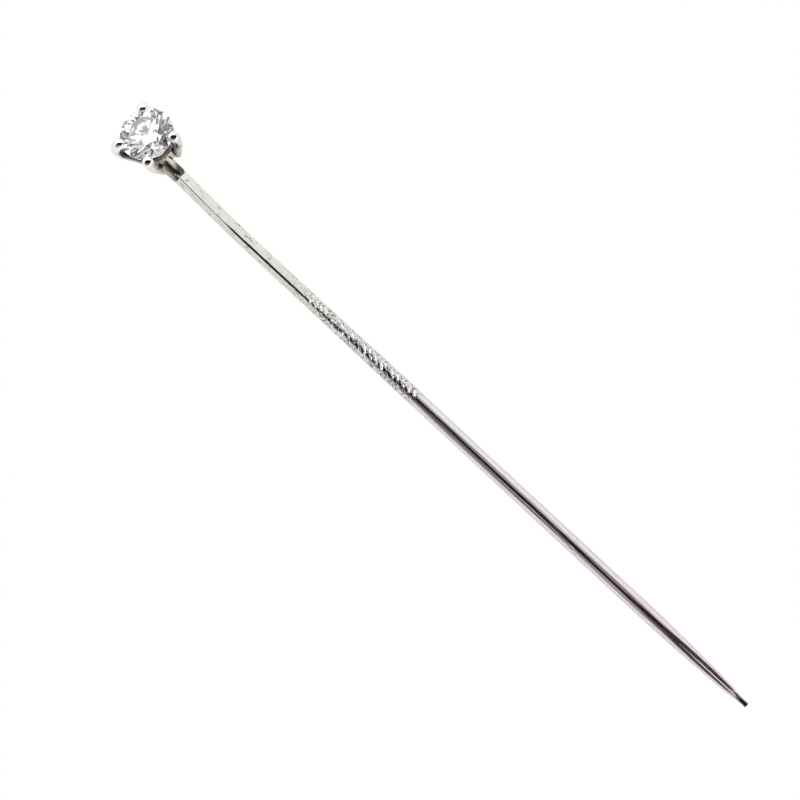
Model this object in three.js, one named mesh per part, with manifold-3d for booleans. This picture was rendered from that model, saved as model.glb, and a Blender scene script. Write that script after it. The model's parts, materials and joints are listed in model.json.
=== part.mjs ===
// A short stick pin, the kind worn in a hat, a lapel or a cravat: a round brilliant stone in a
// four-claw head, soldered to the squared end of a plain wire stem. Millimetres, +Z up.
//
// The pin lies on its surface: the stem runs along X with its point at +X, and the head at -X leans
// back, so that the pin rests on the feet of the claws furthest from the stem and on its point.

import * as THREE from 'three';
import { ConvexGeometry } from 'three/addons/geometries/ConvexGeometry.js';
import { mergeVertices } from 'three/addons/utils/BufferGeometryUtils.js';
import Module from 'manifold-3d';

const wasm = await Module();
wasm.setup();

const degrees = THREE.MathUtils.degToRad;
const blend = THREE.MathUtils.lerp;
const ease = THREE.MathUtils.smoothstep;
const TURN = 2 * Math.PI;

// ---------------------------------------------------------------- driving dimensions

const CLEARANCE = 0.015; // left between pieces that touch

// The stone's own proportions, about the centre of its girdle.
const STONE_RADIUS = 1.85;
const GIRDLE_THICKNESS = 0.14;
const CROWN_ANGLE = degrees(34.5);
const PAVILION_ANGLE = degrees(40.8);
const TABLE_SHARE = 0.57; // of the stone's radius
const STAR_SHARE = 0.763; // radius of the points where star and upper girdle facets meet
const LOWER_SHARE = 0.22; // radius of the points where lower girdle facets and mains meet
const FACET_SIDES = 8;

// The ring that the claws stand on, in the head's frame: its axis is the stone's axis.
const RING_OUTER_RADIUS = 1.3;
const RING_INNER_RADIUS = 0.92;
const RING_TOP = -1.8;
const RING_BOTTOM = -2.8;
const RING_CHAMFER = 0.06;

// A claw's centre line, as distance from the stone's axis and height over the girdle.
const CLAW_FOOT = { out: 1.3, up: -3.2, radius: 0.27 };
const CLAW_SHOULDER = { up: 0, radius: 0.38 };
const CLAW_BEAD = { up: 0.36, radius: 0.38 };

// The claws were bent over by hand, so they stand unevenly around the stone, and their beads and
// the bulge of their shoulders over the girdle aren't all at the same distance from its axis.
const CLAWS = [
  { name: 'claw_lower_right', foot: degrees(37), bead: degrees(41), out: 2.03, bulge: 0.15 },
  { name: 'claw_upper_right', foot: degrees(150), bead: degrees(153), out: 1.74, bulge: 0.2 },
  { name: 'claw_upper_left', foot: degrees(261), bead: degrees(257), out: 1.9, bulge: 0.3 },
  { name: 'claw_lower_left', foot: degrees(323), bead: degrees(332), out: 2.15, bulge: 0.15 },
];

// How the head sits on the stem: leaning back, turned a little aside, and off the stem's middle.
const HEAD_TILT = degrees(27);
const HEAD_TWIST = degrees(-10.9);
const HEAD_ASIDE = 0.13;
const JOINT_HEIGHT = -2.3; // where the stem meets the ring's wall
const SOLDER_LENGTH = 1.35;
const SOLDER_RADIUS = { ring: 0.7, stem: 0.56 };

// The stem, as distances along its axis from the ring.
const STEM_LENGTH = 53.1;
const SQUARE_END = 11.4;
const GRIP_START = 12.1;
const GRIP_LENGTH = 11;
const TAPER_LENGTH = 9.6;
const NUB_LENGTH = 0.7;
const SHANK_RADIUS = 0.543;
const SQUARE_HALF_WIDTH = 0.375;
const SQUARE_CORNER_RADIUS = 0.507;
const TAPER_LOSS = 0.53; // share of the radius lost before the nub
const NUB_RADIUS = 0.155;
const NUB_FLARE = 0.01;
const SQUARE_ROLL = { ring: degrees(5.6), stem: degrees(14.6), length: 4 };

// The grip's fine helical grooves, cut around the round wire.
const GROOVE_STARTS = 7;
const GROOVE_LEAD = 3.5;
const GROOVE_DEPTH = 0.035;
const GROOVE_PROFILE = [0, 0.5, 1, 0.5]; // share of the depth at each of the points in a groove
const STEM_SIDES = GROOVE_STARTS * GROOVE_PROFILE.length;

// ---------------------------------------------------------------- solids and meshes

// A closed geometry as a solid that can be joined and cut.
function solidOf(geometry) {
  const bare = geometry.clone();
  bare.deleteAttribute('normal');
  bare.deleteAttribute('uv');
  const merged = mergeVertices(bare, 1e-5);
  return new wasm.Manifold(new wasm.Mesh({
    numProp: 3,
    vertProperties: new Float32Array(merged.attributes.position.array),
    triVerts: new Uint32Array(merged.index.array),
  }));
}

function geometryOf(solid) {
  const { vertProperties, triVerts } = solid.getMesh();
  const geometry = new THREE.BufferGeometry();
  geometry.setAttribute('position', new THREE.BufferAttribute(vertProperties, 3));
  geometry.setIndex(new THREE.BufferAttribute(triVerts, 1));
  geometry.computeVertexNormals();
  return geometry;
}

function joined(geometries) {
  return geometries.map(solidOf).reduce((whole, piece) => whole.add(piece));
}

function cutBy(solid, cutters) {
  return cutters.reduce((rest, cutter) => rest.subtract(cutter), solid);
}

// A skin over rings of points, closed by a flat cap at each end.
function loft(rings) {
  const sides = rings[0].length;
  const points = rings.flat();
  const faces = [];
  const at = (ring, side) => ring * sides + (side % sides);
  for (let ring = 0; ring < rings.length - 1; ring += 1) {
    for (let side = 0; side < sides; side += 1) {
      faces.push(at(ring, side), at(ring, side + 1), at(ring + 1, side));
      faces.push(at(ring, side + 1), at(ring + 1, side + 1), at(ring + 1, side));
    }
  }
  const last = rings.length - 1;
  const firstCentre = points.push(centreOf(rings[0])) - 1;
  const lastCentre = points.push(centreOf(rings[last])) - 1;
  for (let side = 0; side < sides; side += 1) {
    faces.push(firstCentre, at(0, side + 1), at(0, side));
    faces.push(lastCentre, at(last, side), at(last, side + 1));
  }
  const geometry = new THREE.BufferGeometry().setFromPoints(points);
  geometry.setIndex(faces);
  return geometry;
}

function centreOf(ring) {
  const sum = ring.reduce((total, point) => total.add(point), new THREE.Vector3());
  return sum.divideScalar(ring.length);
}

// A point in the head's frame, from its distance and direction from the stone's axis.
function around(out, azimuth, up) {
  return new THREE.Vector3(out * Math.cos(azimuth), out * Math.sin(azimuth), up);
}

// Turns a geometry made along Y, so that it runs from one point to another.
function layBetween(geometry, from, to) {
  const along = new THREE.Vector3().subVectors(to, from).normalize();
  const turn = new THREE.Quaternion().setFromUnitVectors(new THREE.Vector3(0, 1, 0), along);
  const middle = new THREE.Vector3().addVectors(from, to).multiplyScalar(0.5);
  return geometry.applyQuaternion(turn).translate(middle.x, middle.y, middle.z);
}

// A cylinder about the stone's axis, between two heights.
function drum(radius, bottom, top, sides = 64) {
  const geometry = new THREE.CylinderGeometry(radius, radius, top - bottom, sides);
  return layBetween(geometry, new THREE.Vector3(0, 0, bottom), new THREE.Vector3(0, 0, top));
}

// ---------------------------------------------------------------- the stone

const GIRDLE_TOP = GIRDLE_THICKNESS / 2;
const TABLE_HEIGHT = GIRDLE_TOP + (1 - TABLE_SHARE) * STONE_RADIUS * Math.tan(CROWN_ANGLE);
const CULET_HEIGHT = -GIRDLE_TOP - STONE_RADIUS * Math.tan(PAVILION_ANGLE);
const HALF_FACET = TURN / FACET_SIDES / 2;

// Height of the bezel facets' corner, which lies half a facet away from the facet's middle.
const STAR_HEIGHT = TABLE_HEIGHT
  - (STAR_SHARE * Math.cos(HALF_FACET) - TABLE_SHARE) * STONE_RADIUS * Math.tan(CROWN_ANGLE);
const LOWER_HEIGHT = CULET_HEIGHT
  + LOWER_SHARE * Math.cos(HALF_FACET) * STONE_RADIUS * Math.tan(PAVILION_ANGLE);

// A round brilliant: the hull of its table, star, girdle and lower points and its culet.
function stoneGeometry() {
  const points = [new THREE.Vector3(0, 0, CULET_HEIGHT)];
  for (let facet = 0; facet < FACET_SIDES; facet += 1) {
    const middle = (facet / FACET_SIDES) * TURN;
    const corner = middle + HALF_FACET;
    points.push(around(TABLE_SHARE * STONE_RADIUS, middle, TABLE_HEIGHT));
    points.push(around(STAR_SHARE * STONE_RADIUS, corner, STAR_HEIGHT));
    points.push(around(LOWER_SHARE * STONE_RADIUS, corner, LOWER_HEIGHT));
    for (const azimuth of [middle, corner]) {
      points.push(around(STONE_RADIUS, azimuth, GIRDLE_TOP));
      points.push(around(STONE_RADIUS, azimuth, -GIRDLE_TOP));
    }
  }
  return new ConvexGeometry(points);
}

// The space that the stone takes up, turned about its axis: the claws' seats are cut with it.
function seatGeometry() {
  const profile = [
    [0, CULET_HEIGHT - CLEARANCE],
    [LOWER_SHARE * STONE_RADIUS, LOWER_HEIGHT - CLEARANCE],
    [STONE_RADIUS + CLEARANCE, -GIRDLE_TOP - CLEARANCE],
    [STONE_RADIUS + CLEARANCE, GIRDLE_TOP + CLEARANCE],
    [STAR_SHARE * STONE_RADIUS, STAR_HEIGHT + CLEARANCE],
    [TABLE_SHARE * STONE_RADIUS, TABLE_HEIGHT + CLEARANCE],
    [0, TABLE_HEIGHT + CLEARANCE],
  ].map(([out, up]) => new THREE.Vector2(out, up));
  return new THREE.LatheGeometry(profile, 64).rotateX(TURN / 4);
}

// ---------------------------------------------------------------- the head's metal

// A claw before its seat is cut: a tapered shank, and a rounded tip bent over the stone's edge.
function clawBlank(claw, grow = 0) {
  const foot = around(CLAW_FOOT.out, claw.foot, CLAW_FOOT.up);
  const shoulder = around(claw.out + claw.bulge, claw.bead, CLAW_SHOULDER.up);
  const bead = around(claw.out, claw.bead, CLAW_BEAD.up);
  const topRadius = CLAW_SHOULDER.radius + grow;
  const footRadius = CLAW_FOOT.radius + grow;
  const shank = new THREE.CylinderGeometry(topRadius, footRadius, foot.distanceTo(shoulder), 20, 1);
  const tip = new THREE.CapsuleGeometry(CLAW_BEAD.radius + grow, shoulder.distanceTo(bead), 5, 20);
  return joined([layBetween(shank, foot, shoulder), layBetween(tip, shoulder, bead)]);
}

function clawGeometry(claw) {
  return geometryOf(clawBlank(claw).subtract(solidOf(seatGeometry())));
}

// A short tube with broken edges, grooved where the claws are let into it.
function ringGeometry() {
  const profile = [
    [RING_INNER_RADIUS, RING_BOTTOM],
    [RING_OUTER_RADIUS - RING_CHAMFER, RING_BOTTOM],
    [RING_OUTER_RADIUS, RING_BOTTOM + RING_CHAMFER],
    [RING_OUTER_RADIUS, RING_TOP - RING_CHAMFER],
    [RING_OUTER_RADIUS - RING_CHAMFER, RING_TOP],
    [RING_INNER_RADIUS, RING_TOP],
    [RING_INNER_RADIUS, RING_BOTTOM],
  ].map(([out, up]) => new THREE.Vector2(out, up));
  const tube = new THREE.LatheGeometry(profile, 48).rotateX(TURN / 4);
  return geometryOf(cutBy(solidOf(tube), CLAWS.map((claw) => clawBlank(claw, CLEARANCE))));
}

// ---------------------------------------------------------------- the stem

const NUB_START = STEM_LENGTH - NUB_LENGTH;
const TAPER_START = NUB_START - TAPER_LENGTH;
const GRIP_END = GRIP_START + GRIP_LENGTH;

// Count places from one distance up to, but not including, the next.
function places(from, to, count) {
  return Array.from({ length: count }, (_, step) => blend(from, to, step / count));
}

// How far the stem's section is turned about its axis: the squared end is a little twisted, and
// the grip's points follow its grooves.
function turnAt(x) {
  const roll = blend(SQUARE_ROLL.ring, SQUARE_ROLL.stem, ease(x, 0, SQUARE_ROLL.length));
  const cut = THREE.MathUtils.clamp(x - GRIP_START, 0, GRIP_LENGTH);
  return roll + (cut / GROOVE_LEAD) * TURN;
}

// The squared wire's radius in a direction, measured from one of its edges.
function squareRadius(angle) {
  const fromFlat = Math.abs((angle % (TURN / 4)) - TURN / 8);
  return Math.min(SQUARE_HALF_WIDTH / Math.cos(fromFlat), SQUARE_CORNER_RADIUS);
}

function roundRadius(x) {
  if (x > NUB_START) {
    const out = (x - NUB_START) / NUB_LENGTH;
    return NUB_RADIUS + NUB_FLARE * out * out;
  }
  const along = Math.max(0, (x - TAPER_START) / TAPER_LENGTH);
  return SHANK_RADIUS * (1 - TAPER_LOSS * along * along);
}

function grooveDepth(x, side) {
  const fade = ease(x, GRIP_START, GRIP_START + 0.5) * (1 - ease(x, GRIP_END - 0.5, GRIP_END));
  return GROOVE_DEPTH * fade * GROOVE_PROFILE[side % GROOVE_PROFILE.length];
}

function stemRing(x, grow) {
  return Array.from({ length: STEM_SIDES }, (_, side) => {
    const angle = (side / STEM_SIDES) * TURN;
    const roundness = ease(x, SQUARE_END, GRIP_START);
    const section = blend(squareRadius(angle), roundRadius(x), roundness);
    const radius = section - grooveDepth(x, side) + grow;
    const direction = angle + turnAt(x);
    return new THREE.Vector3(x, -Math.sin(direction) * radius, Math.cos(direction) * radius);
  });
}

// The whole wire, from inside the ring to the blunt nub at the point.
function stemBlank(grow = 0) {
  const stations = [
    -RING_OUTER_RADIUS / 2,
    ...places(0, SQUARE_ROLL.length, 6),
    SQUARE_ROLL.length,
    ...places(SQUARE_END, GRIP_START, 5),
    ...places(GRIP_START, GRIP_END, 44),
    ...places(GRIP_END, TAPER_START, 2),
    ...places(TAPER_START, NUB_START, 12),
    NUB_START,
    ...places(NUB_START + 0.08, STEM_LENGTH, 3),
    STEM_LENGTH,
  ];
  return solidOf(loft(stations.map((x) => stemRing(x, grow))));
}

// Head pieces placed in the stem's frame, for cutting the pieces that meet them.
const HEAD_TURN = new THREE.Euler(0, -HEAD_TILT, HEAD_TWIST, 'ZYX');
const HEAD_PLACE = new THREE.Vector3(-RING_OUTER_RADIUS, 0, -JOINT_HEIGHT)
  .applyEuler(HEAD_TURN)
  .add(new THREE.Vector3(0, HEAD_ASIDE, 0));
const headToStem = new THREE.Matrix4().makeRotationFromEuler(HEAD_TURN).setPosition(HEAD_PLACE);

function ringSpace() {
  const wall = drum(RING_OUTER_RADIUS + CLEARANCE, 2 * RING_BOTTOM, 0);
  return solidOf(wall.applyMatrix4(headToStem));
}

function clawSpaces() {
  return CLAWS.map((claw) => {
    const space = geometryOf(clawBlank(claw, CLEARANCE));
    return solidOf(space.applyMatrix4(headToStem));
  });
}

// The stem's end is filed hollow to fit the ring's wall.
function stemGeometry() {
  return geometryOf(cutBy(stemBlank(), [ringSpace(), ...clawSpaces()]));
}

// The collar of solder around the stem's end, which fills the corner between stem, ring and claws.
function solderGeometry() {
  const start = -SOLDER_LENGTH / 3;
  const cone = new THREE.CylinderGeometry(
    SOLDER_RADIUS.stem, SOLDER_RADIUS.ring, SOLDER_LENGTH - start, 40, 1,
  );
  const from = new THREE.Vector3(start, 0, 0);
  const to = new THREE.Vector3(SOLDER_LENGTH, 0, 0);
  const reach = drum(2 * RING_OUTER_RADIUS, RING_BOTTOM - 0.1, RING_TOP + 0.1);
  const collar = solidOf(layBetween(cone, from, to))
    .intersect(solidOf(reach.applyMatrix4(headToStem)));
  return geometryOf(cutBy(collar, [stemBlank(CLEARANCE), ringSpace(), ...clawSpaces()]));
}

// ---------------------------------------------------------------- the assembly

function metal(color, roughness) {
  return new THREE.MeshStandardMaterial({ color, roughness, metalness: 1 });
}

function gem(color) {
  return new THREE.MeshStandardMaterial({ color, roughness: 0.02, metalness: 0 });
}

function node(name, geometry, material) {
  const mesh = new THREE.Mesh(geometry, material);
  mesh.name = name;
  return mesh;
}

function makeHead() {
  const head = new THREE.Group();
  head.add(node('stone', stoneGeometry(), gem(0xf2f4f6)));
  head.add(node('base_ring', ringGeometry(), metal(0xcfcbb6, 0.3)));
  for (const claw of CLAWS) {
    head.add(node(claw.name, clawGeometry(claw), metal(0xe4e3d8, 0.2)));
  }
  head.rotation.copy(HEAD_TURN);
  head.position.copy(HEAD_PLACE);
  return head;
}

function makePin() {
  const pin = new THREE.Group();
  const head = makeHead();
  pin.add(head);
  pin.add(node('stem', stemGeometry(), metal(0xd6d6d0, 0.22)));
  pin.add(node('solder', solderGeometry(), metal(0x9a9686, 0.4)));

  // Nose down by the angle that brings the point as low as the claws' feet.
  const headDrop = -new THREE.Box3().setFromObject(head, true).min.z;
  pin.rotation.y = Math.asin((headDrop - NUB_RADIUS - NUB_FLARE) / STEM_LENGTH);
  return pin;
}

// Moves an object so that its box stands centred on the origin.
function stand(object) {
  const box = new THREE.Box3().setFromObject(object, true);
  const centre = box.getCenter(new THREE.Vector3());
  object.position.set(-centre.x, -centre.y, -box.min.z);
  return object;
}

const part = new THREE.Group();
part.add(stand(makePin()));
part.updateMatrixWorld(true);

export default part;
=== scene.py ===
"""A short stick pin with a claw-set brilliant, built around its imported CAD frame.

Lengths are in millimetres in the modelling functions, in one of two frames of the pin's own:
- the stem's frame: X along the stem from the ring to the point, Z away from the surface it lies on;
- the head's frame: Z along the stone's axis, from the middle of the girdle towards the table.
placed() turns either into metres in the CAD frame.
"""

import json
import math
import random

import bmesh
import bpy
from mathutils import Euler, Matrix, Vector, noise


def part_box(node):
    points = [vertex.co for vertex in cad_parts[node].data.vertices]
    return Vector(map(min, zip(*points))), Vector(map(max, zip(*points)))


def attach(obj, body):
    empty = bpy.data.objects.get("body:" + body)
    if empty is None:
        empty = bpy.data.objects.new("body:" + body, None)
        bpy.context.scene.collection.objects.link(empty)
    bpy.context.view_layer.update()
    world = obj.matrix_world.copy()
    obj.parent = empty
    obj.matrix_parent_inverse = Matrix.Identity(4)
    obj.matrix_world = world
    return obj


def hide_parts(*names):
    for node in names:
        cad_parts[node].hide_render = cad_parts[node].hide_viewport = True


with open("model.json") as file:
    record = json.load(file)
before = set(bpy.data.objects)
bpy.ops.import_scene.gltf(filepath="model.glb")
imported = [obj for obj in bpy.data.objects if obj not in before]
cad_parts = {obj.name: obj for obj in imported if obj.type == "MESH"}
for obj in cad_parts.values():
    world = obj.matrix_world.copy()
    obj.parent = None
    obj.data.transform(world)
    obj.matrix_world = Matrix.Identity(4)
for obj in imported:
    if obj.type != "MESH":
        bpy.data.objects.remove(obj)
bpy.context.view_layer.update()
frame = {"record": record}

MM = 0.001
TURN = 2 * math.pi

# ------------------------------------------------------------------ sizes

STONE_RADIUS = 1.85
GIRDLE_HALF = 0.07
CROWN_ANGLE = math.radians(34.5)
PAVILION_ANGLE = math.radians(40.8)
TABLE_SHARE = 0.57
STAR_SHARE = 0.763
LOWER_SHARE = 0.22

RING_OUTER = 1.3
RING_INNER = 0.92
RING_TOP = -1.8
RING_BOTTOM = -2.8

HEAD_TILT = math.radians(27)
HEAD_TWIST = math.radians(-10.9)
HEAD_ASIDE = 0.13
JOINT_HEIGHT = -2.3

STEM_LENGTH = 53.1
SQUARE_END = 11.4
GRIP_START = 12.1
GRIP_END = 23.1
TAPER_START = 42.8
NUB_START = 52.4
SHANK_RADIUS = 0.543
SQUARE_CORNER = 0.507
NUB_RADIUS = 0.155

CLAW_FOOT_HEIGHT = -3.1
CLAW_BEAD_HEIGHT = 0.36

# Each claw's foot and bead directions about the stone's axis in degrees, their distances from that
# axis, how far its shoulder bulges out over the girdle, and how flat the bead was pressed, as the
# radius across its low roof over the bead's own. The shanks are slimmer than the CAD solids', and
# the lower claws' feet stand 6 and 13 degrees further round.
CLAWS = {
    "claw_lower_right": (43, 41, 1.30, 2.03, 0.18, 1.7),
    "claw_upper_right": (150, 153, 1.30, 1.74, 0.60, 1.1),
    "claw_upper_left": (261, 257, 1.30, 1.90, 1.08, 1.1),
    "claw_lower_left": (336, 332, 1.44, 2.17, 0.24, 1.7),
}


# ------------------------------------------------------------------ frames

def stem_matrix():
    """The stem's frame in the CAD frame: its axis is the mount's, and it ends where the stem does."""
    mounts = {mount["name"]: mount for mount in frame["record"]["mounts"]}
    mount = mounts["stem_through_cloth"]
    along = Vector(mount["axis"]).normalized()
    across = Vector((0, 1, 0))
    up = along.cross(across)
    on_axis = Vector(mount["pos_m"])
    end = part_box("stem")[1].x
    tip = on_axis + along * ((end - on_axis.x) / along.x)
    start = tip - along * STEM_LENGTH * MM
    turn = Matrix((along, across, up)).transposed().to_4x4()
    return Matrix.Translation(start) @ turn @ Matrix.Scale(MM, 4)


def head_matrix():
    turn = Euler((0, -HEAD_TILT, HEAD_TWIST), "XYZ").to_matrix().to_4x4()
    place = turn @ Vector((-RING_OUTER, 0, -JOINT_HEIGHT)) + Vector((0, HEAD_ASIDE, 0))
    return stem_matrix() @ Matrix.Translation(place) @ turn


STEM = stem_matrix()
HEAD = head_matrix()


def ease(value, low, high):
    """0 below low, 1 above high, and a smooth rise between them."""
    share = min(1, max(0, (value - low) / (high - low)))
    return share * share * (3 - 2 * share)


def mix(a, b, share):
    return a + (b - a) * share


def soft_minimum(a, b, width):
    """The lower of two values, with their crossing rounded off over a width."""
    return b - width * math.log(1 + math.exp((b - a) / width))


# ------------------------------------------------------------------ camera, stage and lights

PIXELS_PER_MM = 15.0
IMAGE_PIXELS = 800
CAMERA_DISTANCE = 0.42
PIN_SLOPE = math.radians(43.03)  # how far the stem runs below the picture's horizontal
AIM_ALONG = 22.2
AIM_ASIDE = -0.885


def picture_axes():
    """The picture's right and up directions, for a camera that looks straight down."""
    along, aside = Vector((1, 0, 0)), Vector((0, 1, 0))
    right = along * math.cos(PIN_SLOPE) + aside * math.sin(PIN_SLOPE)
    up = aside * math.cos(PIN_SLOPE) - along * math.sin(PIN_SLOPE)
    return right, up


def make_camera():
    """Straight above the pin, which lies along the picture's diagonal."""
    data = bpy.data.cameras.new("camera")
    data.lens = data.sensor_width * PIXELS_PER_MM * CAMERA_DISTANCE / MM / IMAGE_PIXELS
    data.clip_start = CAMERA_DISTANCE / 10
    data.clip_end = 10
    camera = bpy.data.objects.new("camera", data)
    bpy.context.scene.collection.objects.link(camera)
    bpy.context.scene.camera = camera

    back = Vector((0, 0, 1))
    right, up = picture_axes()
    aim = STEM @ Vector((AIM_ALONG, 0, 0)) + Vector((0, AIM_ASIDE * MM, 0))
    turn = Matrix((right, up, back)).transposed().to_4x4()
    camera.matrix_world = Matrix.Translation(aim + back * CAMERA_DISTANCE) @ turn


END_WALL = (1.05, 1.04, 1.04)


def make_world():
    """A white tent, darker overhead and towards one side, with the camera's dark opening at the top."""
    world = bpy.data.worlds.new("tent")
    bpy.context.scene.world = world
    world.use_nodes = True
    nodes, links = world.node_tree.nodes, world.node_tree.links
    coordinate = nodes.new("ShaderNodeTexCoord")
    walls = around_direction(nodes, links, coordinate.outputs["Generated"], math.radians(15), (
        (91, (1.10, 1.10, 1.09)),
        (68, (1.00, 0.99, 0.99)),
        (60, (0.85, 0.84, 0.84)),
        (50, (0.55, 0.54, 0.545)),
        (43, (0.42, 0.41, 0.415)),
        (28, (0.28, 0.27, 0.275)),
        (13, (0.14, 0.125, 0.13)),
        (0, (0.08, 0.065, 0.07)),
    ))
    oval = oval_direction(nodes, links, coordinate.outputs["Generated"])
    opening = around_direction(nodes, links, oval, 0, (
        (24, (1, 1, 1)),
        (20, (0.40, 0.37, 0.38)),
        (16, (0.10, 0.07, 0.08)),
        (0, (0.08, 0.05, 0.06)),
    ))
    both = nodes.new("ShaderNodeVectorMath")
    both.operation = "MULTIPLY"
    links.new(walls, both.inputs[0])
    links.new(opening, both.inputs[1])
    ends = nodes.new("ShaderNodeMixRGB")
    ends.inputs["Color2"].default_value = (*END_WALL, 1)
    links.new(end_share(nodes, links, coordinate.outputs["Generated"]), ends.inputs["Fac"])
    links.new(both.outputs["Vector"], ends.inputs["Color1"])
    links.new(ends.outputs["Color"], nodes["Background"].inputs["Color"])


def end_share(nodes, links, direction):
    """1 towards the tent's plain white walls, at the two ends of the pin, and 0 across it."""
    parts = nodes.new("ShaderNodeSeparateXYZ")
    either_end = nodes.new("ShaderNodeMath")
    either_end.operation = "ABSOLUTE"
    links.new(direction, parts.inputs["Vector"])
    links.new(parts.outputs["X"], either_end.inputs[0])
    return remap(nodes, links, either_end.outputs["Value"], 0.35, 0.6, 0, 1)


def around_direction(nodes, links, direction, lean, stops):
    """Colours by the angle in degrees from an overhead axis, which leans to the pin's left."""
    dot = nodes.new("ShaderNodeVectorMath")
    dot.operation = "DOT_PRODUCT"
    dot.inputs[1].default_value = (0, -math.sin(lean), math.cos(lean))
    ramp = nodes.new("ShaderNodeValToRGB")
    fill_ramp(ramp.color_ramp, [(math.cos(math.radians(a)), c) for a, c in stops])
    links.new(direction, dot.inputs[0])
    links.new(dot.outputs["Value"], ramp.inputs["Fac"])
    return ramp.outputs["Color"]


def oval_direction(nodes, links, direction):
    """The direction, squeezed so that a round opening overhead becomes wide along the picture."""
    wide, tall = 1.45, 0.827
    right, up = picture_axes()
    axes = {"X": right / wide, "Y": up / tall, "Z": Vector((0, 0, 1))}
    join = nodes.new("ShaderNodeCombineXYZ")
    for name, axis in axes.items():
        dot = nodes.new("ShaderNodeVectorMath")
        dot.operation = "DOT_PRODUCT"
        dot.inputs[1].default_value = axis
        links.new(direction, dot.inputs[0])
        links.new(dot.outputs["Value"], join.inputs[name])
    unit = nodes.new("ShaderNodeVectorMath")
    unit.operation = "NORMALIZE"
    links.new(join.outputs["Vector"], unit.inputs[0])
    return unit.outputs["Vector"]


def fill_ramp(ramp, stops):
    """Gives a colour ramp these (position, colour) stops."""
    while len(ramp.elements) > 1:
        ramp.elements.remove(ramp.elements[-1])
    ramp.elements[0].position = stops[0][0]
    ramp.elements[0].color = (*stops[0][1], 1)
    for position, color in stops[1:]:
        element = ramp.elements.new(position)
        element.color = (*color, 1)


def make_softbox(name, place, size, power, color):
    """A square soft light at a place in metres, aimed at the middle of the pin."""
    data = bpy.data.lights.new(name, "AREA")
    data.color = color
    data.shape = "SQUARE"
    data.size = size
    data.energy = power
    light = bpy.data.objects.new(name, data)
    bpy.context.scene.collection.objects.link(light)
    light.location = place
    light.rotation_mode = "QUATERNION"
    light.rotation_quaternion = Vector(place).to_track_quat("Z", "Y")


def make_floor():
    """A white sheet, blown out to the camera, that still lights the pin as paper would."""
    reach = 1.5
    corners = [(-reach, -reach, 0), (reach, -reach, 0), (reach, reach, 0), (-reach, reach, 0)]
    mesh = bpy.data.meshes.new("floor")
    mesh.from_pydata(corners, [], [(0, 1, 2, 3)])
    floor = bpy.data.objects.new("floor", mesh)
    bpy.context.scene.collection.objects.link(floor)

    material = bpy.data.materials.new("floor")
    material.use_nodes = True
    nodes, links = material.node_tree.nodes, material.node_tree.links
    nodes.remove(nodes["Principled BSDF"])
    paper = nodes.new("ShaderNodeBsdfDiffuse")
    paper.inputs["Color"].default_value = (0.85, 0.85, 0.84, 1)
    glow = nodes.new("ShaderNodeEmission")
    glow.inputs["Color"].default_value = (1, 1, 0.995, 1)
    glow.inputs["Strength"].default_value = 1.0
    rays = nodes.new("ShaderNodeLightPath")
    blend = nodes.new("ShaderNodeMixShader")
    links.new(rays.outputs["Is Camera Ray"], blend.inputs["Fac"])
    links.new(paper.outputs[0], blend.inputs[1])
    links.new(glow.outputs[0], blend.inputs[2])
    links.new(blend.outputs[0], nodes["Material Output"].inputs["Surface"])
    mesh.materials.append(material)


# ------------------------------------------------------------------ materials

def new_material(name):
    material = bpy.data.materials.new(name)
    material.use_nodes = True
    return material, material.node_tree.nodes, material.node_tree.links


def frame_coordinates(nodes, links, matrix, scale):
    """Coordinates in the stem's or the head's frame, in millimetres, stretched by scale."""
    place = nodes.new("ShaderNodeTexCoord")
    turn = nodes.new("ShaderNodeMapping")
    turn.vector_type = "POINT"
    inverse = matrix.inverted()
    turn.inputs["Location"].default_value = inverse.to_translation()
    turn.inputs["Rotation"].default_value = inverse.to_euler()
    turn.inputs["Scale"].default_value = inverse.to_scale()
    stretch = nodes.new("ShaderNodeVectorMath")
    stretch.operation = "MULTIPLY"
    stretch.inputs[1].default_value = scale
    links.new(place.outputs["Object"], turn.inputs["Vector"])
    links.new(turn.outputs["Vector"], stretch.inputs[0])
    return stretch.outputs["Vector"]


def noise_texture(nodes, links, vector, scale, detail=3, roughness=0.5):
    texture = nodes.new("ShaderNodeTexNoise")
    texture.inputs["Scale"].default_value = scale
    texture.inputs["Detail"].default_value = detail
    texture.inputs["Roughness"].default_value = roughness
    links.new(vector, texture.inputs["Vector"])
    return texture.outputs["Fac"]


def remap(nodes, links, value, low, high, to_low, to_high):
    node = nodes.new("ShaderNodeMapRange")
    node.inputs["From Min"].default_value = low
    node.inputs["From Max"].default_value = high
    node.inputs["To Min"].default_value = to_low
    node.inputs["To Max"].default_value = to_high
    links.new(value, node.inputs["Value"])
    return node.outputs["Result"]


def multiply_color(nodes, links, color, factor):
    """A colour darkened by a factor from 0 to 1."""
    node = nodes.new("ShaderNodeVectorMath")
    node.operation = "SCALE"
    links.new(color, node.inputs[0])
    links.new(factor, node.inputs["Scale"])
    return node.outputs["Vector"]


def larger(nodes, links, a, b):
    node = nodes.new("ShaderNodeMath")
    node.operation = "MAXIMUM"
    links.new(a, node.inputs[0])
    links.new(b, node.inputs[1])
    return node.outputs["Value"]


def bump(nodes, links, height, depth_mm, strength=1.0):
    node = nodes.new("ShaderNodeBump")
    node.inputs["Distance"].default_value = depth_mm * MM
    node.inputs["Strength"].default_value = strength
    links.new(height, node.inputs["Height"])
    return node


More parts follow.
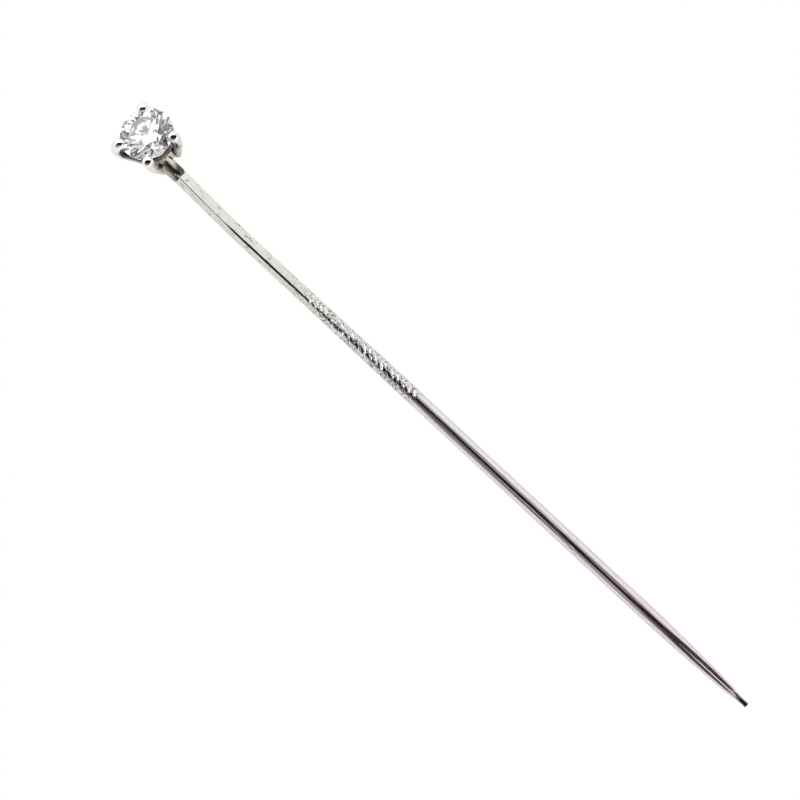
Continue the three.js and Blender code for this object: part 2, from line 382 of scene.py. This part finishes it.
def stem_material():
    """Worn white gold: creamy at the head, neutral in the middle and rosy near the point."""
    material, nodes, links = new_material("stem_gold")
    shader = nodes["Principled BSDF"]
    shader.inputs["Metallic"].default_value = 1

    plain = frame_coordinates(nodes, links, STEM, (1, 1, 1))
    parts = nodes.new("ShaderNodeSeparateXYZ")
    links.new(plain, parts.inputs["Vector"])
    along = remap(nodes, links, parts.outputs["X"], 0, STEM_LENGTH, 0, 1)
    tint = nodes.new("ShaderNodeValToRGB")
    fill_ramp(tint.color_ramp, [
        (0.0, (0.75, 0.75, 0.70)),
        (0.2, (0.75, 0.76, 0.705)),
        (0.3, (0.78, 0.78, 0.765)),
        (0.6, (0.80, 0.765, 0.765)),
        (0.8, (0.80, 0.715, 0.73)),
        (1.0, (0.80, 0.71, 0.725)),
    ])
    links.new(along, tint.inputs["Fac"])

    drawn = frame_coordinates(nodes, links, STEM, (0.35, 14, 14))
    lines = noise_texture(nodes, links, drawn, 1.0, 4, 0.6)
    stained = noise_texture(nodes, links, plain, 2.2, 4, 0.6)
    stain = remap(nodes, links, stained, 0.30, 0.52, 0.90, 1.0)
    color = multiply_color(nodes, links, tint.outputs["Color"], stain)
    scraped = frame_coordinates(nodes, links, STEM, (0.5, 1, 1))
    grip = (GRIP_START - 2.5, GRIP_START + 2), (GRIP_END - 0.6, GRIP_END + 0.2)
    square = (0.8, 1.6), (GRIP_START - 2, GRIP_START)
    for place, scale, threshold, span in ((plain, 7, 0.50, grip), (scraped, 5, 0.60, square)):
        clean_and_unshaded = grime(nodes, links, place, parts.outputs["X"], scale, threshold, *span)
        color = multiply_color(nodes, links, color, clean_and_unshaded)
    # Much darker over the point's nub.
    nub_darkening = remap(nodes, links, parts.outputs["X"], NUB_START - 0.5, NUB_START + 0.1, 1, 0.15)
    links.new(multiply_color(nodes, links, color, nub_darkening), shader.inputs["Base Color"])
    links.new(remap(nodes, links, lines, 0.3, 0.7, 0.03, 0.09), shader.inputs["Roughness"])
    relief = bump(nodes, links, lines, 0.012)
    links.new(relief.outputs["Normal"], shader.inputs["Normal"])
    return material


def grime(nodes, links, place, along, scale, threshold, start, end):
    """Below 1 in dark specks that fade in and out over two spans of the stem, and 1 elsewhere."""
    found = noise_texture(nodes, links, place, scale, 2, 0.6)
    specks = remap(nodes, links, found, threshold, threshold + 0.12, 0, 0.8)
    begins = remap(nodes, links, along, *start, 0, 1)
    ends = remap(nodes, links, along, *end, 1, 0)
    for mask in (begins, ends):
        product = nodes.new("ShaderNodeMath")
        product.operation = "MULTIPLY"
        links.new(specks, product.inputs[0])
        links.new(mask, product.inputs[1])
        specks = product.outputs["Value"]
    return remap(nodes, links, specks, 0, 1, 1, 0)


def head_material():
    """Polished white gold, yellower by the ring, with painted shade under the stone and on inner sides.
    """
    material, nodes, links = new_material("head_gold")
    shader = nodes["Principled BSDF"]
    shader.inputs["Metallic"].default_value = 1
    plain = frame_coordinates(nodes, links, HEAD, (1, 1, 1))
    parts = nodes.new("ShaderNodeSeparateXYZ")
    links.new(plain, parts.inputs["Vector"])
    tint = nodes.new("ShaderNodeValToRGB")
    fill_ramp(tint.color_ramp, [(0.0, (0.70, 0.68, 0.56)), (1.0, (0.92, 0.915, 0.90))])
    links.new(remap(nodes, links, parts.outputs["Z"], -2.3, -1.4, 0, 1), tint.inputs["Fac"])
    worn = noise_texture(nodes, links, plain, 1.6, 4, 0.6)
    dull = remap(nodes, links, worn, 0.3, 0.6, 0.88, 1)
    color = multiply_color(nodes, links, tint.outputs["Color"], dull)
    # The painted shade fades out on the metal away from the stem.
    far = remap(nodes, links, parts.outputs["X"], 0.1, -0.6, 0, 0.7)
    # Both masks are painted shade, multiplied into the base colour.
    for clean_and_unshaded in (
        shade_under_stone(nodes, links, plain, parts.outputs["Z"]),
        shade_on_inner_side(nodes, links, parts.outputs["Z"]),
    ):
        color = multiply_color(nodes, links, color, larger(nodes, links, clean_and_unshaded, far))
    links.new(color, shader.inputs["Base Color"])
    fine = noise_texture(nodes, links, plain, 9, 3, 0.5)
    links.new(remap(nodes, links, fine, 0.3, 0.7, 0.02, 0.08), shader.inputs["Roughness"])
    relief = bump(nodes, links, fine, 0.004)
    links.new(relief.outputs["Normal"], shader.inputs["Normal"])
    return material


def shade_under_stone(nodes, links, place, height):
    """Near 0 close under the stone's pavilion, a painted shade, and 1 elsewhere."""
    out = nodes.new("ShaderNodeVectorMath")
    out.operation = "MULTIPLY"
    out.inputs[1].default_value = (1, 1, 0)
    radius = nodes.new("ShaderNodeVectorMath")
    radius.operation = "LENGTH"
    section = nodes.new("ShaderNodeCombineXYZ")
    away = nodes.new("ShaderNodeVectorMath")
    away.operation = "DOT_PRODUCT"
    normal = Vector((math.sin(PAVILION_ANGLE), 0, -math.cos(PAVILION_ANGLE)))
    away.inputs[1].default_value = normal
    links.new(place, out.inputs[0])
    links.new(out.outputs["Vector"], radius.inputs[0])
    links.new(radius.outputs["Value"], section.inputs["X"])
    links.new(height, section.inputs["Z"])
    links.new(section.outputs["Vector"], away.inputs[0])
    surface = normal.dot(Vector((STONE_RADIUS, 0, -GIRDLE_HALF)))
    # Painted shade near the pavilion, fading out between 0.5 and 1.2 mm from it.
    clean_and_unshaded = remap(nodes, links, away.outputs["Value"], surface + 0.50, surface + 1.20, 0.04, 1)
    above = remap(nodes, links, height, -0.20, 0, 0, 1)
    unshaded_from, unshaded_by = STONE_RADIUS + 0.28, STONE_RADIUS + 0.44
    outside = remap(nodes, links, radius.outputs["Value"], unshaded_from, unshaded_by, 0, 1)
    return larger(nodes, links, larger(nodes, links, clean_and_unshaded, above), outside)


def shade_on_inner_side(nodes, links, height):
    """Near 0 on the sides that face the head's axis, a painted shade, and 1 elsewhere."""
    place = nodes.new("ShaderNodeTexCoord")
    axis = (HEAD.to_3x3() @ Vector((0, 0, 1))).normalized()
    offset = nodes.new("ShaderNodeVectorMath")
    offset.operation = "SUBTRACT"
    offset.inputs[1].default_value = HEAD.to_translation()
    along = nodes.new("ShaderNodeVectorMath")
    along.operation = "PROJECT"
    along.inputs[1].default_value = axis
    out = nodes.new("ShaderNodeVectorMath")
    out.operation = "SUBTRACT"
    unit = nodes.new("ShaderNodeVectorMath")
    unit.operation = "NORMALIZE"
    facing = nodes.new("ShaderNodeVectorMath")
    facing.operation = "DOT_PRODUCT"
    links.new(place.outputs["Object"], offset.inputs[0])
    links.new(offset.outputs["Vector"], along.inputs[0])
    links.new(offset.outputs["Vector"], out.inputs[0])
    links.new(along.outputs["Vector"], out.inputs[1])
    links.new(out.outputs["Vector"], unit.inputs[0])
    links.new(unit.outputs["Vector"], facing.inputs[0])
    links.new(place.outputs["Normal"], facing.inputs[1])
    # Painted shade on surfaces whose normals face the head's axis.
    clean_and_unshaded = remap(nodes, links, facing.outputs["Value"], -0.15, 0.35, 0.06, 1)
    above = remap(nodes, links, height, -0.35, -0.1, 0, 1)
    return larger(nodes, links, clean_and_unshaded, above)


def solder_material():
    """Solder: the same metal, yellower and stained, with a painted dark reflection towards its ragged
    end and painted shade on the pin's left side.
    """
    material, nodes, links = new_material("solder")
    shader = nodes["Principled BSDF"]
    shader.inputs["Metallic"].default_value = 1
    plain = frame_coordinates(nodes, links, STEM, (1, 1, 1))
    stained = noise_texture(nodes, links, plain, 2.5, 4, 0.6)
    tint = nodes.new("ShaderNodeValToRGB")
    fill_ramp(tint.color_ramp, [(0.35, (0.58, 0.56, 0.46)), (0.6, (0.82, 0.80, 0.70))])
    links.new(stained, tint.inputs["Fac"])
    # A painted dark reflection, darkest towards the solder's ragged end.
    dark_reflection_side = nodes.new("ShaderNodeVectorMath")
    dark_reflection_side.operation = "DOT_PRODUCT"
    dark_reflection_side.inputs[1].default_value = (1, 0.9, 0)
    links.new(plain, dark_reflection_side.inputs[0])
    dark_reflection = remap(nodes, links, dark_reflection_side.outputs["Value"], 0.70, 1.10, 1, 0.12)
    parts = nodes.new("ShaderNodeSeparateXYZ")
    links.new(plain, parts.inputs["Vector"])
    shade = remap(nodes, links, parts.outputs["Y"], -0.30, -0.05, 0.55, 1)
    color = multiply_color(nodes, links, tint.outputs["Color"], dark_reflection)
    links.new(multiply_color(nodes, links, color, shade), shader.inputs["Base Color"])
    links.new(remap(nodes, links, stained, 0.3, 0.7, 0.22, 0.10), shader.inputs["Roughness"])
    relief = bump(nodes, links, stained, 0.02)
    links.new(relief.outputs["Normal"], shader.inputs["Normal"])
    return material


def stone_material():
    """A clear stone that bends light as a diamond does."""
    material, nodes, _ = new_material("brilliant")
    shader = nodes["Principled BSDF"]
    shader.inputs["Base Color"].default_value = (1, 1, 1, 1)
    shader.inputs["Transmission Weight"].default_value = 1
    shader.inputs["IOR"].default_value = 2.417
    shader.inputs["Roughness"].default_value = 0
    return material


# ------------------------------------------------------------------ mesh helpers

def placed(name, verts, faces, matrix, material, smooth_angle=None):
    """A mesh object from millimetre points in one of the pin's frames."""
    mesh = bpy.data.meshes.new(name)
    mesh.from_pydata([tuple(v) for v in verts], [], faces)
    mesh.transform(matrix)
    mesh.materials.append(material)
    if smooth_angle is not None:
        mesh.shade_smooth()
        mesh.set_sharp_from_angle(angle=math.radians(smooth_angle))
    mesh.update()
    piece = bpy.data.objects.new(name, mesh)
    bpy.context.scene.collection.objects.link(piece)
    return piece


def loft(rings):
    """Points and outward faces of a skin over rings of points, closed by a flat cap at each end."""
    sides = len(rings[0])
    verts = [point for ring in rings for point in ring]
    faces = []
    for ring in range(len(rings) - 1):
        for side in range(sides):
            a, b = ring * sides + side, ring * sides + (side + 1) % sides
            faces.append((a, b, b + sides, a + sides))
    last = (len(rings) - 1) * sides
    faces.append(tuple(reversed(range(sides))))
    faces.append(tuple(range(last, last + sides)))
    return verts, faces


def lathe(profile, sides):
    """Points and faces of a closed profile of (radius, height) points turned about Z."""
    verts = []
    faces = []
    count = len(profile)
    for side in range(sides):
        angle = TURN * side / sides
        verts += [Vector((r * math.cos(angle), r * math.sin(angle), z)) for r, z in profile]
    for side in range(sides):
        here, there = side * count, (side + 1) % sides * count
        for step in range(count):
            after = (step + 1) % count
            faces.append((here + step, there + step, there + after, here + after))
    return verts, faces


def cut(piece, cutter):
    """Takes the cutter's shape out of the piece, and removes the cutter."""
    modifier = piece.modifiers.new("cut", "BOOLEAN")
    modifier.operation = "DIFFERENCE"
    modifier.solver = "EXACT"
    modifier.object = cutter
    graph = bpy.context.evaluated_depsgraph_get()
    result = bpy.data.meshes.new_from_object(piece.evaluated_get(graph))
    piece.modifiers.clear()
    piece.data = result
    bpy.data.objects.remove(cutter)


def resmooth(piece, angle):
    piece.data.shade_smooth()
    piece.data.set_sharp_from_angle(angle=math.radians(angle))


# ------------------------------------------------------------------ the stone

TABLE_HEIGHT = GIRDLE_HALF + (1 - TABLE_SHARE) * STONE_RADIUS * math.tan(CROWN_ANGLE)
CULET_HEIGHT = -GIRDLE_HALF - STONE_RADIUS * math.tan(PAVILION_ANGLE)
EIGHTH = TURN / 8
STONE_TURN = EIGHTH / 2
STAR_HEIGHT = TABLE_HEIGHT - (
    (STAR_SHARE * math.cos(EIGHTH / 2) - TABLE_SHARE) * STONE_RADIUS * math.tan(CROWN_ANGLE))
LOWER_HEIGHT = CULET_HEIGHT + (
    LOWER_SHARE * math.cos(EIGHTH / 2) * STONE_RADIUS * math.tan(PAVILION_ANGLE))


def around(share, azimuth, height):
    """A point on the stone, at a share of its radius."""
    out = share * STONE_RADIUS
    return Vector((out * math.cos(azimuth), out * math.sin(azimuth), height))


def grind(mesh, a, b, c):
    """Takes off everything outside the plane through three points, and leaves a flat facet."""
    normal = (b - a).cross(c - a).normalized()
    if normal.dot(a) < 0:
        normal.negate()
    everything = mesh.verts[:] + mesh.edges[:] + mesh.faces[:]
    result = bmesh.ops.bisect_plane(
        mesh, geom=everything, dist=1e-6, plane_co=a, plane_no=normal, clear_outer=True)
    edges = [e for e in result["geom_cut"] if isinstance(e, bmesh.types.BMEdge)]
    bmesh.ops.edgeloop_fill(mesh, edges=edges)


def make_stone():
    """A round brilliant, ground facet by facet from a short round bar, as a cutter would."""
    mesh = bmesh.new()
    bmesh.ops.create_cone(
        mesh, cap_ends=True, segments=96, radius1=STONE_RADIUS, radius2=STONE_RADIUS,
        depth=4 * STONE_RADIUS)
    for facet in range(8):
        middle = facet * EIGHTH + STONE_TURN
        step = EIGHTH / 2
        # Bezel and pavilion main.
        corner = around(TABLE_SHARE, middle, TABLE_HEIGHT)
        girdle = around(1, middle, GIRDLE_HALF)
        grind(mesh, corner, girdle, corner + Vector((-math.sin(middle), math.cos(middle), 0)))
        girdle = around(1, middle, -GIRDLE_HALF)
        culet = Vector((0, 0, CULET_HEIGHT))
        grind(mesh, culet, girdle, culet + Vector((-math.sin(middle), math.cos(middle), 0)))
        # Star.
        next_corner = around(TABLE_SHARE, middle + EIGHTH, TABLE_HEIGHT)
        star = around(STAR_SHARE, middle + step, STAR_HEIGHT)
        grind(mesh, corner, next_corner, star)
        # Upper and lower girdle facets, in pairs on each side of the star's point.
        low = around(LOWER_SHARE, middle + step, LOWER_HEIGHT)
        for bezel in (middle, middle + EIGHTH):
            for inner, height in ((star, GIRDLE_HALF), (low, -GIRDLE_HALF)):
                grind(mesh, inner, around(1, bezel, height), around(1, middle + step, height))
    flat = Vector((0, 0, TABLE_HEIGHT))
    grind(mesh, flat, flat + Vector((1, 0, 0)), flat + Vector((0, 1, 0)))
    bmesh.ops.remove_doubles(mesh, verts=mesh.verts[:], dist=1e-4)
    bmesh.ops.dissolve_limit(
        mesh, angle_limit=math.radians(0.2), verts=mesh.verts[:], edges=mesh.edges[:])
    bmesh.ops.recalc_face_normals(mesh, faces=mesh.faces[:])
    data = bpy.data.meshes.new("brilliant")
    mesh.to_mesh(data)
    mesh.free()
    data.transform(HEAD)
    data.materials.append(stone_material())
    stone = bpy.data.objects.new("brilliant", data)
    bpy.context.scene.collection.objects.link(stone)
    return stone


# ------------------------------------------------------------------ the head's metal

# Directions in the head's frame: away from the surface, and across the ridge of the pressed beads.
UPWARD = MM * HEAD.to_3x3().inverted() @ Vector((0, 0, 1))
ACROSS_RIDGE = MM * HEAD.to_3x3().inverted() @ picture_axes()[1]


def head_point(out, azimuth, height):
    return Vector((out * math.cos(azimuth), out * math.sin(azimuth), height))


def bezier(points, share):
    """A point on the cubic curve with these four control points."""
    a, b, c, d = points
    rest = 1 - share
    return a * rest**3 + b * 3 * rest**2 * share + c * 3 * rest * share**2 + d * share**3


def claw_rings(foot, bead, foot_out, bead_out, bulge, roof, grow=0.0, sides=48, steps=44):
    """Rings along a claw: a flat foot, a tapered shank bent over the girdle, and a round bead."""
    foot, bead = math.radians(foot), math.radians(bead)
    control = [
        head_point(foot_out, foot, CLAW_FOOT_HEIGHT),
        head_point((foot_out + bead_out) / 2, mix(foot, bead, 0.35), -1.8),
        head_point(bead_out + bulge, bead, -0.2),
        head_point(bead_out, bead, CLAW_BEAD_HEIGHT),
    ]
    side_axis = Vector((-math.sin(bead), math.cos(bead), 0))

    def ring(centre, along, radius):
        out = side_axis.cross(along).normalized()
        across = along.cross(out)
        angles = [TURN * k / sides for k in range(sides)]
        return [centre + (out * math.cos(a) + across * math.sin(a)) * radius for a in angles]

    rings = []
    for step in range(steps + 1):
        share = step / steps
        centre = bezier(control, share)
        along = (bezier(control, share + 0.01) - bezier(control, share - 0.01)).normalized()
        radius = mix(0.24, 0.33, ease(share, 0, 0.6)) + 0.06 * ease(share, 0.75, 1) + grow
        if step == 0:
            rings.append(ring(centre - along * grow, along, radius - 0.04))
            centre = centre + along * 0.04
        rings.append(ring(centre, along, radius))
    caps = 16
    for cap in range(1, caps + 1):
        lift = cap / (caps + 0.4) * TURN / 4
        rings.append(ring(centre + along * radius * math.sin(lift), along, radius * math.cos(lift)))
    return [[pressed(point, centre, radius, roof) for point in points] for points in rings]


def pressed(point, centre, radius, roof):
    """A bead's point, brought down where the claw was hammered into a low roof."""
    ridge_height, ridge_half_width, hardness = 0.84, 0.6, 0.9  # the first two over the radius
    offset = (point - centre) / radius
    beside = abs(offset.dot(ACROSS_RIDGE))
    drop = beside**2 / 2
    if beside >= ridge_half_width:
        drop = ridge_half_width * beside - ridge_half_width**2 / 2
    spare = offset.dot(UPWARD) - ridge_height + drop / roof
    return point - UPWARD * hardness * spare * radius if spare > 0 else point


def make_seat():
    """The space that the stone takes up, turned about its axis, to cut the claws' seats with."""
    gap = 0.012
    profile = [
        (0.001, CULET_HEIGHT - gap),
        (LOWER_SHARE * STONE_RADIUS, LOWER_HEIGHT - gap),
        (STONE_RADIUS + gap, -GIRDLE_HALF - gap),
        (STONE_RADIUS + gap, GIRDLE_HALF + gap),
        (STAR_SHARE * STONE_RADIUS, STAR_HEIGHT + gap),
        (TABLE_SHARE * STONE_RADIUS, TABLE_HEIGHT + gap),
        (0.001, TABLE_HEIGHT + gap),
    ]
    return placed("seat", *lathe(profile, 128), HEAD, bpy.data.materials.new("seat"))


def make_claw(name, shape, material):
    claw = placed(name.replace("claw", "prong"), *loft(claw_rings(*shape)), HEAD, material)
    cut(claw, make_seat())
    resmooth(claw, 40)
    return claw


def make_ring(material):
    """The short tube under the stone, with broken edges and a groove for each claw."""
    bevel = 0.06
    corners = [
        (RING_INNER, RING_BOTTOM), (RING_OUTER, RING_BOTTOM),
        (RING_OUTER, RING_TOP), (RING_INNER, RING_TOP),
    ]
    middle = Vector(((RING_INNER + RING_OUTER) / 2, (RING_TOP + RING_BOTTOM) / 2))
    profile = []
    for index, corner in enumerate(corners):
        corner = Vector(corner)
        inward = Vector((math.copysign(bevel, middle.x - corner.x),
                         math.copysign(bevel, middle.y - corner.y)))
        centre = corner + inward
        start = math.atan2(-1, -1) + index * TURN / 4 - TURN / 8
        for step in range(5):
            angle = start + step * TURN / 16
            profile.append(tuple(centre + bevel * Vector((math.cos(angle), math.sin(angle)))))
    ring = placed("gallery_ring", *lathe(profile, 128), HEAD, material)
    for shape in CLAWS.values():
        cut(ring, placed("groove", *loft(claw_rings(*shape, grow=0.012)), HEAD, material))
    resmooth(ring, 35)
    return ring


# ------------------------------------------------------------------ the stem

SIDES = 112
KINK = 7.7
KINK_OFFSET = 0.14
ROUND_FROM = 21.5
GROOVE_STARTS = 7
GROOVE_LEAD = 3.5


def bend(x):
    """How far the stem has been bent aside, by hand, at a distance along it."""
    if x < KINK:
        return -KINK_OFFSET * ease(x, 0, KINK)
    return -KINK_OFFSET * (STEM_LENGTH - x) / (STEM_LENGTH - KINK)


def roll(x):
    return math.radians(mix(5.6, 14.6, ease(x, 0, 4)))


def square_radius(angle, rounding):
    """The radius of a square wire with rounded edges, at an angle from one of its edges."""
    from_edge = abs((angle + EIGHTH) % (2 * EIGHTH) - EIGHTH)
    centre = SQUARE_CORNER - rounding
    half_width = centre / math.sqrt(2) + rounding
    flat_end = math.atan2(centre / math.sqrt(2), half_width)
    if EIGHTH - from_edge < flat_end:
        return half_width / math.cos(EIGHTH - from_edge)
    aside = centre * math.sin(from_edge)
    return centre * math.cos(from_edge) + math.sqrt(rounding**2 - aside**2)


def round_radius(x):
    along = max(0, (x - TAPER_START) / (NUB_START - TAPER_START))
    taper = SHANK_RADIUS * (1 - 0.54 * along * along)
    nub = NUB_RADIUS + 0.012 * ease(x, NUB_START, STEM_LENGTH)
    return mix(taper, nub, ease(x, NUB_START - 0.9, NUB_START + 0.3))


def worn_edge(x, direction):
    """The radius of the narrow flat that wear left along the square wire's upper edge."""
    depth = 0.020 * ease(x, 5.6, 6.6) * (1 + 0.5 * noise.noise(Vector((x * 0.8, 0, 5))))
    facing = math.cos(direction - math.radians(2))
    return (0.5 - depth) / facing if facing > 0.5 else 1


def filed_taper(x, direction):
    """The radius of the taper's upper side: filed nearly flat, with a step along the middle."""
    radius = round_radius(x)
    filed = ease(x, TAPER_START + 1, NUB_START - 2) * (1 - 0.6 * ease(x, NUB_START - 0.5, NUB_START))
    turn = (direction - math.radians(4) + TURN / 2) % TURN - TURN / 2
    if abs(turn) > 1.2 or filed == 0:
        return radius
    step = 0.045 * filed * (ease(turn, -0.04 / radius, 0.06 / radius) - 0.5)
    flat = radius * (1 - 0.22 * filed) + step
    return soft_minimum(radius, flat / math.cos(turn), 0.01)


def groove(x, angle):
    """Depth of the grip's helical grooves: short uneven strokes rather than clean cuts."""
    fade = ease(x, GRIP_START, GRIP_START + 1.5) * (1 - ease(x, GRIP_END - 0.4, GRIP_END))
    if fade == 0:
        return 0
    place = Vector((x * 2.2, math.cos(angle) * 1.2, math.sin(angle) * 1.2))
    turns = angle / TURN - x / GROOVE_LEAD + 0.02 * noise.noise(place * 1.5)
    phase = (turns * GROOVE_STARTS) % 1
    stroke = ease(1 - abs(phase - 0.5) / 0.22, 0, 1)
    force = 0.35 + 0.65 * ease(noise.noise(place), -0.25, 0.25)
    grain = 0.010 * noise.noise(place * 5)
    return fade * (0.050 * stroke * force + grain)


def dent(x, angle, marks):
    """Total depth of the marks at a point: each is (x, angle, half length, half width, depth)."""
    depth = 0
    for at, direction, length, width, deep in marks:
        along = (x - at) / length
        if abs(along) > 2.5:
            continue
        turn = (angle - direction + TURN / 2) % TURN - TURN / 2
        around_wire = turn * SHANK_RADIUS / width
        if abs(around_wire) < 2.5:
            depth += deep * math.exp(-(along**2 + around_wire**2))
    return depth


def stem_marks():
    """Pits and nicks: some in known places, and a seeded scatter over the squared end and grip."""
    # Angles run from the surface's up direction towards the pin's left side.
    marks = [
        (1.75, math.radians(50), 0.10, 0.08, 0.06),
        (2.6, math.radians(35), 0.35, 0.03, 0.02),
        (6.0, math.radians(8), 0.12, 0.06, 0.02),
        (11.9, math.radians(25), 0.06, 0.05, 0.02),
        (12.4, math.radians(25), 0.06, 0.05, 0.02),
        (12.9, math.radians(25), 0.06, 0.05, 0.02),
        (37.3, math.radians(28), 0.20, 0.05, 0.030),
        (37.7, math.radians(38), 0.16, 0.04, 0.026),
        (37.4, math.radians(48), 0.14, 0.04, 0.022),
    ]
    # Long draw lines on the shank.
    marks += [
        (25.0, math.radians(12), 1.6, 0.030, 0.010),
        (26.5, math.radians(27), 2.0, 0.034, 0.016),
        (29.5, math.radians(-14), 3.0, 0.030, 0.012),
        (33.5, math.radians(20), 3.2, 0.036, 0.026),
        (35.5, math.radians(7), 2.5, 0.026, 0.010),
        (40.5, math.radians(-10), 2.6, 0.028, 0.012),
        (42.0, math.radians(26), 2.4, 0.034, 0.020),
        (46.0, math.radians(15), 2.0, 0.030, 0.016),
    ]
    scatter = random.Random(7)
    for start, count in ((0.5, 60), (GRIP_START - 2, 260)):
        for _ in range(count):
            marks.append((
                scatter.uniform(start, GRIP_END), scatter.uniform(0, TURN),
                scatter.uniform(0.03, 0.09), scatter.uniform(0.02, 0.05),
                scatter.uniform(0.006, 0.022),
            ))
    for step in range(8):
        marks.append((
            6.3 + step * 0.27 + scatter.uniform(-0.08, 0.08), math.radians(-60),
            0.07, 0.06, scatter.uniform(0.03, 0.05),
        ))
    return marks


def stem_stations():
    """Distances along the stem at which its section is drawn: close together in the grip."""
    spans = [
        (-0.35, GRIP_START - 0.4, 0.07), (GRIP_START - 0.4, GRIP_END + 0.2, 0.042),
        (GRIP_END + 0.2, 36.7, 0.4), (36.7, 38.2, 0.05), (38.2, TAPER_START, 0.4),
        (TAPER_START, NUB_START - 0.3, 0.2), (NUB_START - 0.3, STEM_LENGTH - 0.02, 0.03),
    ]
    stations = []
    for start, end, step in spans:
        count = max(1, round((end - start) / step))
        stations += [mix(start, end, k / count) for k in range(count)]
    return stations + [STEM_LENGTH - 0.02, STEM_LENGTH]


def stem_ring(x, marks, grow=0.0):
    near = [mark for mark in marks if abs(mark[0] - x) < 3 * mark[2]]
    roundness = ease(x, SQUARE_END, ROUND_FROM)
    rounding = mix(0.055, 0.14, ease(x, 5.3, 6.4))
    points = []
    for side in range(SIDES):
        angle = TURN * side / SIDES
        direction = angle + roll(x)
        square = min(square_radius(angle, rounding), worn_edge(x, direction))
        radius = mix(square, filed_taper(x, direction), roundness)
        waves = noise.noise(Vector((x * 0.9, math.cos(direction) * 2, math.sin(direction) * 2)))
        radius += 0.004 * waves * (1 - roundness)
        for height, length, width in ((0.012, 9, 0.34), (0.0045, 5, 0.11)):
            turn = Vector((0, math.cos(direction), math.sin(direction))) * SHANK_RADIUS / width
            radius += height * roundness * noise.noise(turn + Vector((x / length, 0, 0)))
        radius -= groove(x, direction) + dent(x, direction, near)
        if x == STEM_LENGTH:
            radius -= 0.02
        radius += grow
        points.append(Vector((
            x, bend(x) - math.sin(direction) * radius, math.cos(direction) * radius)))
    return points


def make_ring_space():
    """The space inside the ring's wall and above its rim, to trim the stem and solder with."""
    wall, rim = RING_OUTER + 0.012, RING_TOP + 0.03
    profile = [(0.001, -6), (wall, -6), (wall, rim), (3, rim), (3, 0), (0.001, 0)]
    return placed("ring_space", *lathe(profile, 128), HEAD, bpy.data.materials.new("space"))


def make_stem():
    marks = stem_marks()
    rings = [stem_ring(x, marks) for x in stem_stations()]
    stem = placed("pin_stem", *loft(rings), STEM, stem_material())
    cut(stem, make_ring_space())
    resmooth(stem, 50)
    return stem


SOLDER_START = -0.5
SOLDER_END = 1.4
SOLDER_RADIUS = 0.522
SOLDER_TOP = 0.54
SOLDER_CROWN = 0.20
SOLDER_STEPS = 60


def solder_ring(x, sides=72):
    """The solder's outline at a distance along the stem: a collar that climbs the ring."""
    climb = math.exp(-max(0, x + 0.25) / 0.18)
    points = []
    for side in range(sides):
        angle = TURN * side / sides
        lump = noise.noise(Vector((x * 1.6, math.cos(angle) * 1.3, math.sin(angle) * 1.3)))
        radius = SOLDER_RADIUS + 0.012 * abs(lump) + 0.10 * climb
        ragged = 1.15 + 0.4 * noise.noise(Vector((3, math.cos(angle) * 2, math.sin(angle) * 2)))
        radius -= 0.07 * ease(x, ragged, ragged + 0.12)
        aside, height = -math.sin(angle) * radius, math.cos(angle) * radius
        ridge = mix(0.36, -0.12, (x - 0.2) / 1.1)
        crown = SOLDER_TOP + 0.12 * climb + 0.02 * lump - SOLDER_CROWN * (aside - ridge)**2
        points.append(Vector((x, aside, soft_minimum(height, crown, 0.03))))
    return points


def make_solder():
    """The collar of solder that fills the corner between stem, ring and claws."""
    shares = [step / SOLDER_STEPS for step in range(SOLDER_STEPS + 1)]
    rings = [solder_ring(mix(SOLDER_START, SOLDER_END, share)) for share in shares]
    solder = placed("solder_fillet", *loft(rings), STEM, solder_material())
    core = [stem_ring(-1 + 0.1 * step, [], grow=0.004) for step in range(30)]
    cut(solder, placed("core", *loft(core), STEM, bpy.data.materials.new("core")))
    cut(solder, make_ring_space())
    resmooth(solder, 50)
    return solder


# ------------------------------------------------------------------ the scene

def assign(piece, node):
    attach(piece, "root")
    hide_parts(node)


make_camera()
make_world()
make_softbox("softbox_head", (-0.30, 0, 0.22), 0.50, 1.15, (1, 1, 1))
make_softbox("softbox_point", (0.30, 0, 0.20), 0.28, 0.34, (1, 0.82, 0.87))
make_floor()

gold = head_material()
assign(make_stone(), "stone")
for claw_name, claw_shape in CLAWS.items():
    assign(make_claw(claw_name, claw_shape, gold), claw_name)
assign(make_ring(gold), "base_ring")
assign(make_stem(), "stem")
assign(make_solder(), "solder")

bpy.context.scene.view_settings.view_transform = "Standard"
